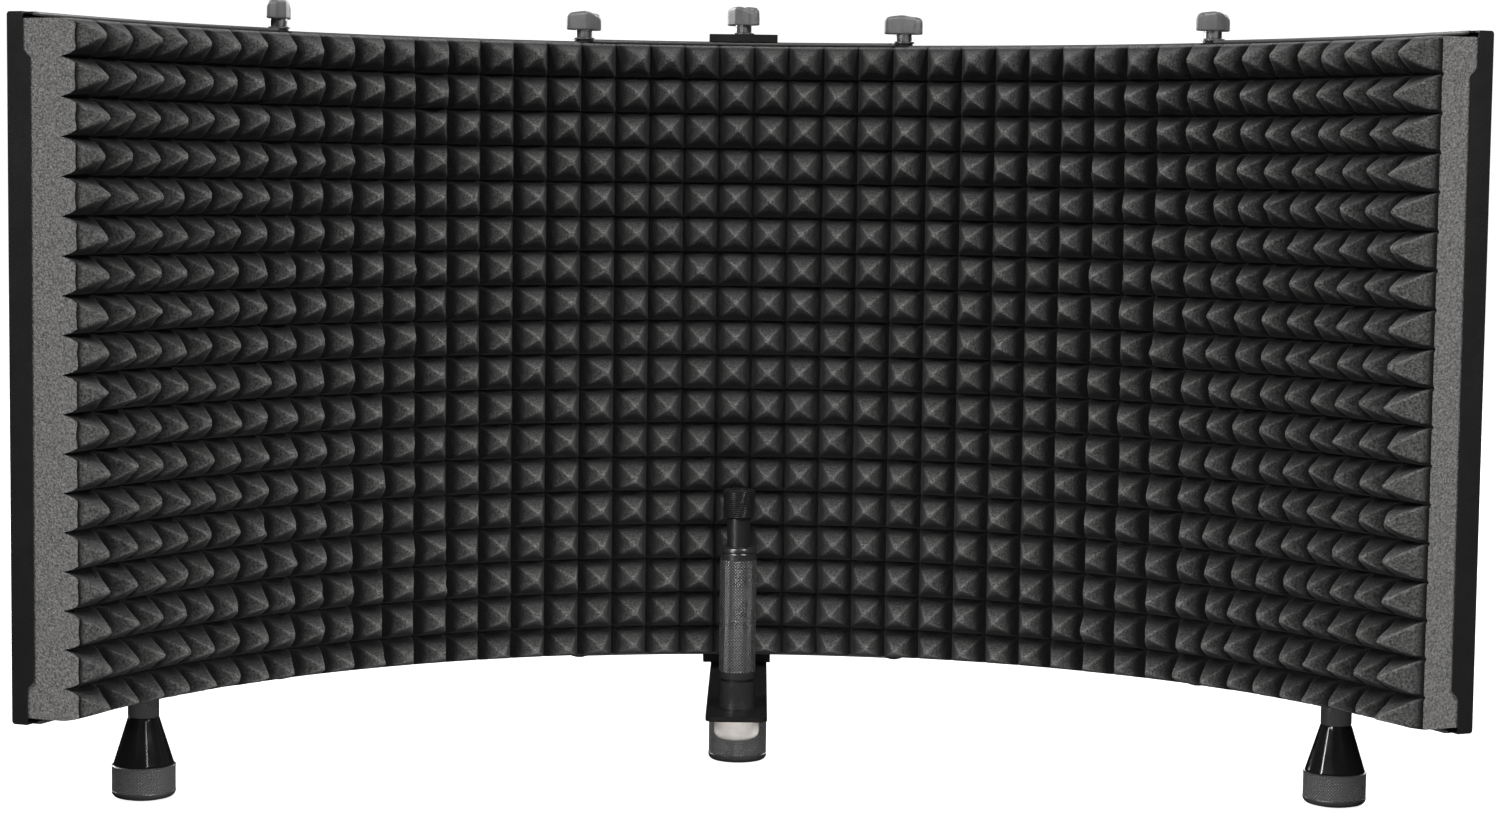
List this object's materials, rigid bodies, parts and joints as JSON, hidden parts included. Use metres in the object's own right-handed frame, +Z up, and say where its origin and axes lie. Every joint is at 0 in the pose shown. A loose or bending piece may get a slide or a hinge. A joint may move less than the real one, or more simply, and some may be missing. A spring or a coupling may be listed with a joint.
{
  "type": "microphone isolation shield",
  "caption": "Folding curved steel shield lined with pyramid acoustic foam, with thumb-knob hinges, two conical feet, a stand adapter and a microphone post on an arm.",
  "frame": {"origin": "centre of the stand adapter's thread at its mouth, level with the floor", "axes": "+Z up, +Y towards the back of the shield, +X to the right seen from the concave side"},
  "size_m": [0.6818, 0.2503, 0.3952],
  "materials": {
    "tray_coat": "satin",
    "foam": "matte",
    "bracket_coat": "satin",
    "zinc_steel": "satin",
    "black_steel": "satin",
    "knob_plastic": "satin",
    "post_steel": "satin",
    "rod_black": "satin",
    "cap_nickel": "satin",
    "adapter_steel": "satin",
    "foot_gloss": "gloss",
    "foot_ring_coat": "matte",
    "pad_rubber": "matte"
  },
  "bodies": {
    "centre": {"centre_panel": "tray_coat", "centre_foam": "foam", "bracket_strap": "bracket_coat", "clamp_nut": "zinc_steel", "arm": "bracket_coat", "arm_bolts": "black_steel", "arm_nuts": "zinc_steel", "centre_washers": "zinc_steel", "post_tube": "post_steel", "post_bolt": "zinc_steel", "post_cap_nut": "cap_nickel"},
    "inner_left": {"inner_left_panel": "tray_coat", "inner_left_foam": "foam", "inner_left_nuts": "zinc_steel", "inner_left_rivets": "black_steel"},
    "outer_left": {"outer_left_panel": "tray_coat", "outer_left_foam": "foam", "outer_left_washer": "zinc_steel", "left_foot_nut": "zinc_steel"},
    "inner_right": {"inner_right_panel": "tray_coat", "inner_right_foam": "foam", "inner_right_nuts": "zinc_steel", "inner_right_rivets": "black_steel"},
    "outer_right": {"outer_right_panel": "tray_coat", "outer_right_foam": "foam", "outer_right_washer": "zinc_steel", "right_foot_nut": "zinc_steel"},
    "clamp_knob": {"centre_knob": "knob_plastic", "centre_stud": "zinc_steel"},
    "inner_left_hinge_knob": {"inner_left_knob": "knob_plastic", "inner_left_stud": "zinc_steel"},
    "inner_right_hinge_knob": {"inner_right_knob": "knob_plastic", "inner_right_stud": "zinc_steel"},
    "outer_left_hinge_knob": {"outer_left_knob": "knob_plastic", "outer_left_stud": "zinc_steel"},
    "outer_right_hinge_knob": {"outer_right_knob": "knob_plastic", "outer_right_stud": "zinc_steel"},
    "sleeve": {"post_sleeve": "post_steel"},
    "rod": {"post_rod": "rod_black"},
    "adapter": {"stand_adapter": "adapter_steel", "adapter_bolt": "black_steel", "adapter_washer": "zinc_steel"},
    "left_foot": {"left_foot_cone": "foot_gloss", "left_foot_ring": "foot_ring_coat", "left_foot_pad": "pad_rubber", "left_foot_stud": "zinc_steel"},
    "right_foot": {"right_foot_cone": "foot_gloss", "right_foot_ring": "foot_ring_coat", "right_foot_pad": "pad_rubber", "right_foot_stud": "zinc_steel"}
  },
  "joints": [
    {"name": "inner_left_fold", "type": "hinge", "parent": "centre", "child": "inner_left", "pos_m": [-0.08451, 0.033, 0.213], "axis": [0, 0, 1], "range_deg": [-18, 15]},
    {"name": "outer_left_fold", "type": "hinge", "parent": "inner_left", "child": "outer_left", "pos_m": [-0.2351, -0.04373, 0.213], "axis": [0, 0, 1], "range_deg": [-18, 15]},
    {"name": "inner_right_fold", "type": "hinge", "parent": "centre", "child": "inner_right", "pos_m": [0.08451, 0.033, 0.213], "axis": [0, 0, -1], "range_deg": [-18, 15]},
    {"name": "outer_right_fold", "type": "hinge", "parent": "inner_right", "child": "outer_right", "pos_m": [0.2351, -0.04373, 0.213], "axis": [0, 0, -1], "range_deg": [-18, 15]},
    {"name": "clamp_knob_turn", "type": "hinge", "parent": "centre", "child": "clamp_knob", "pos_m": [0, 0.043, 0.213], "axis": [0, 0, 1], "continuous": true},
    {"name": "inner_left_knob_turn", "type": "hinge", "parent": "centre", "child": "inner_left_hinge_knob", "pos_m": [-0.08451, 0.033, 0.213], "axis": [0, 0, 1], "continuous": true},
    {"name": "inner_right_knob_turn", "type": "hinge", "parent": "centre", "child": "inner_right_hinge_knob", "pos_m": [0.08451, 0.033, 0.213], "axis": [0, 0, 1], "continuous": true},
    {"name": "outer_left_knob_turn", "type": "hinge", "parent": "outer_left", "child": "outer_left_hinge_knob", "pos_m": [-0.2351, -0.04373, 0.213], "axis": [0, 0, 1], "continuous": true},
    {"name": "outer_right_knob_turn", "type": "hinge", "parent": "outer_right", "child": "outer_right_hinge_knob", "pos_m": [0.2351, -0.04373, 0.213], "axis": [0, 0, 1], "continuous": true},
    {"name": "sleeve_turn", "type": "hinge", "parent": "centre", "child": "sleeve", "pos_m": [-0.00311, -0.09895, 0.09], "axis": [0, 0, 1], "continuous": true},
    {"name": "rod_slide", "type": "slide", "parent": "centre", "child": "rod", "axis": [0, 0, 1], "range_m": [0, 0.04]},
    {"name": "adapter_turn", "type": "hinge", "parent": "centre", "child": "adapter", "pos_m": [0, 0, 0.02], "axis": [0, 0, 1], "continuous": true},
    {"name": "left_foot_turn", "type": "hinge", "parent": "outer_left", "child": "left_foot", "pos_m": [-0.29286, -0.10622, 0], "axis": [0, 0, 1], "continuous": true},
    {"name": "right_foot_turn", "type": "hinge", "parent": "outer_right", "child": "right_foot", "pos_m": [0.29286, -0.10622, 0], "axis": [0, 0, 1], "continuous": true}
  ]
}
